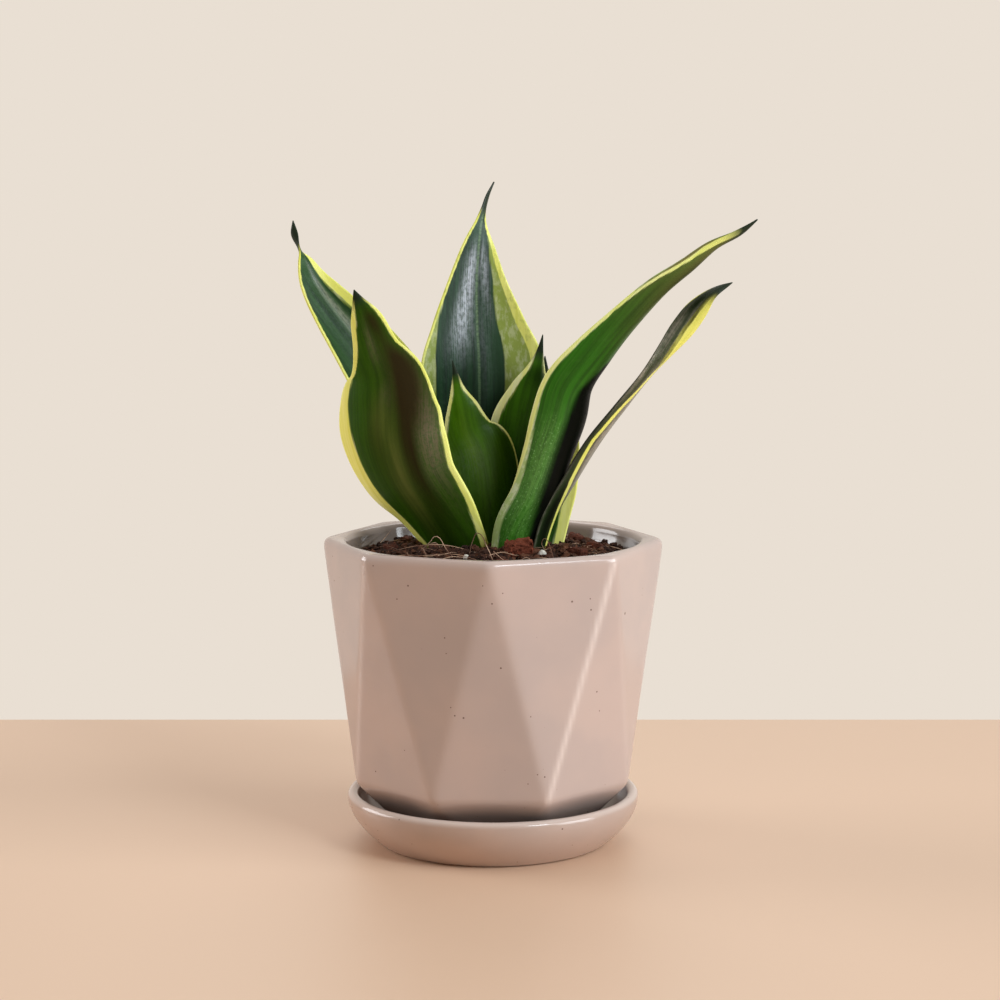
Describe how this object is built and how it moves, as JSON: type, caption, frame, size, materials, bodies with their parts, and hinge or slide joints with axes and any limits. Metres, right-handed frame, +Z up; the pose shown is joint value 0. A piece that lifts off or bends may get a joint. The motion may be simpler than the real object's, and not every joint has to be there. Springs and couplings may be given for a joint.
{
  "type": "planter pot",
  "caption": "Octagonal faceted planter pot in glazed ceramic, standing in a round saucer and planted with a variegated snake plant that lifts out with its root ball.",
  "frame": {"origin": "centre of the saucer's flat base, on the surface that the planter stands on", "axes": "+Z up along the pot's axis, -Y the front with one corner of the rim, +X to the right seen from the front"},
  "size_m": [0.1626, 0.1194, 0.2336],
  "materials": {
    "saucer_glaze": "gloss",
    "pot_glaze": "gloss",
    "drain_mesh": "matte",
    "potting_mix": "matte",
    "husk": "matte",
    "perlite": "matte",
    "root_fibre": "matte",
    "rhizome": "satin",
    "root": "matte",
    "leaf": "satin"
  },
  "bodies": {
    "saucer": {"saucer": "saucer_glaze"},
    "pot": {"pot": "pot_glaze", "drain_screen": "drain_mesh"},
    "root_ball": {"potting_mix": "potting_mix", "husk_chips": "husk", "perlite_grains": "perlite", "surface_fibres": "root_fibre", "rhizome": "rhizome", "roots": "root", "leaf_back_centre": "leaf", "leaf_back_left": "leaf", "leaf_front_left": "leaf", "leaf_front_small": "leaf", "leaf_inner_right": "leaf", "leaf_inner_far": "leaf", "leaf_arching_right": "leaf", "leaf_slender_right": "leaf", "leaf_back_right": "leaf"}
  },
  "joints": [
    {"name": "pot_lift", "type": "slide", "parent": "saucer", "child": "pot", "axis": [0, 0, 1], "range_m": [0, 0.03]},
    {"name": "root_ball_lift", "type": "slide", "parent": "pot", "child": "root_ball", "axis": [0, 0, 1], "range_m": [0, 0.105]}
  ]
}
